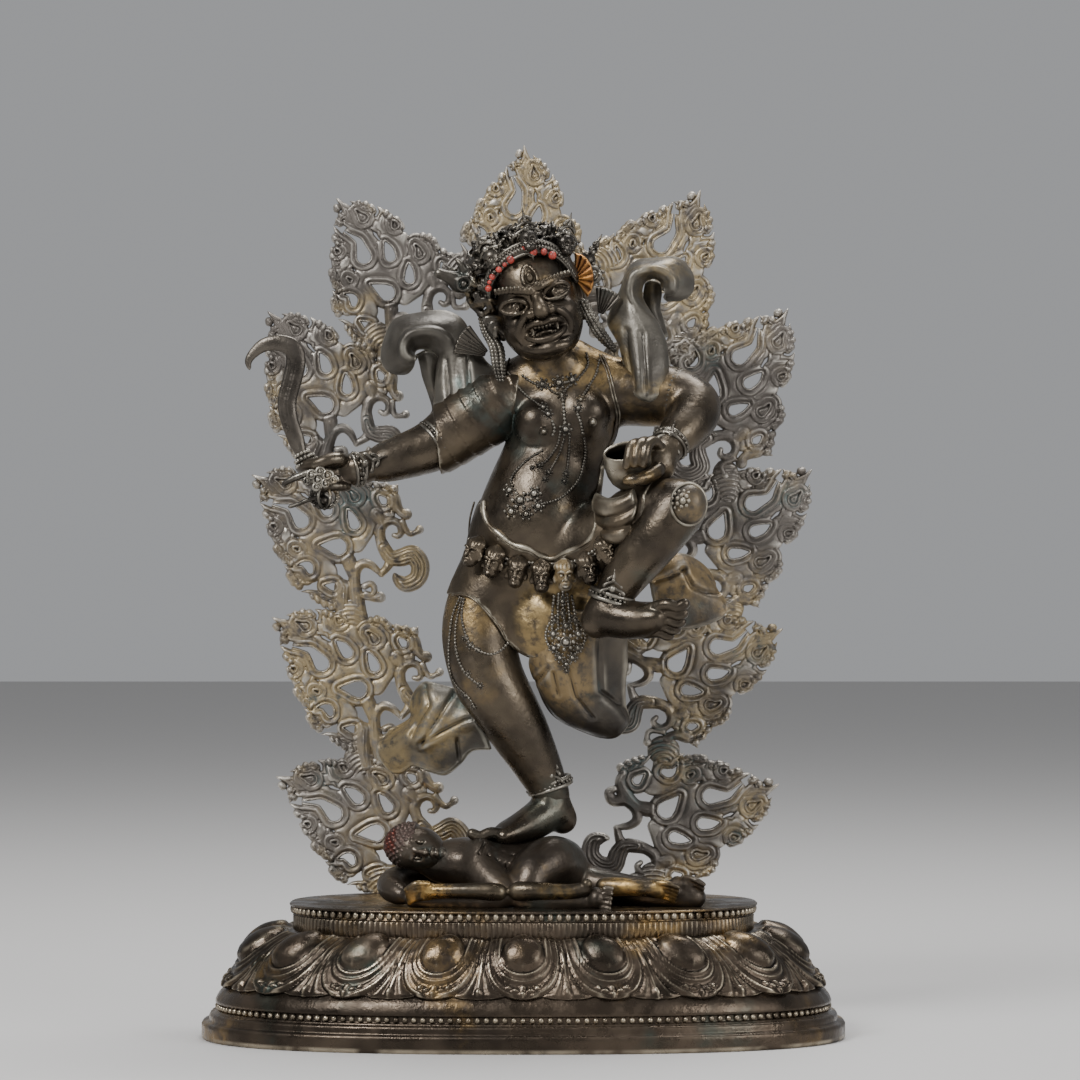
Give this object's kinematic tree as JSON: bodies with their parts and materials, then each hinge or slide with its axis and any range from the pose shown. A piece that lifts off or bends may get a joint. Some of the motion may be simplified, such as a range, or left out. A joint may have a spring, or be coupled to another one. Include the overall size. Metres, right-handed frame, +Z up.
{
  "type": "statue",
  "caption": "Aged bronze statue of a dancing dakini with hooked knife and skull cup, on a prone figure and a lotus plinth before an arch of openwork flames",
  "frame": {"origin": "the middle of the plinth's underside", "axes": "+X to the viewer's right as the statue faces the viewer, +Y towards the flame arch at the back, +Z up"},
  "size_m": [0.321, 0.184, 0.4494],
  "materials": {
    "plinth_bronze": "dark brown patinated bronze with worn ochre gilding and a grey sheen",
    "gilt_bronze": "dark patinated bronze with worn gilding and traces of red paint",
    "figure_bronze": "near-black brown patinated bronze, polished by wear, with ochre gilding and coral-red dots",
    "flame_bronze": "lilac-grey oxidised bronze with ochre gilding and verdigris",
    "blade_bronze": "grey-brown patinated bronze, smooth"
  },
  "bodies": {
    "root": {"lotus_plinth": "plinth_bronze", "prone_man": "gilt_bronze", "dancing_dakini": "figure_bronze", "flame_arch": "flame_bronze", "hooked_knife": "blade_bronze"}
  },
  "joints": []
}
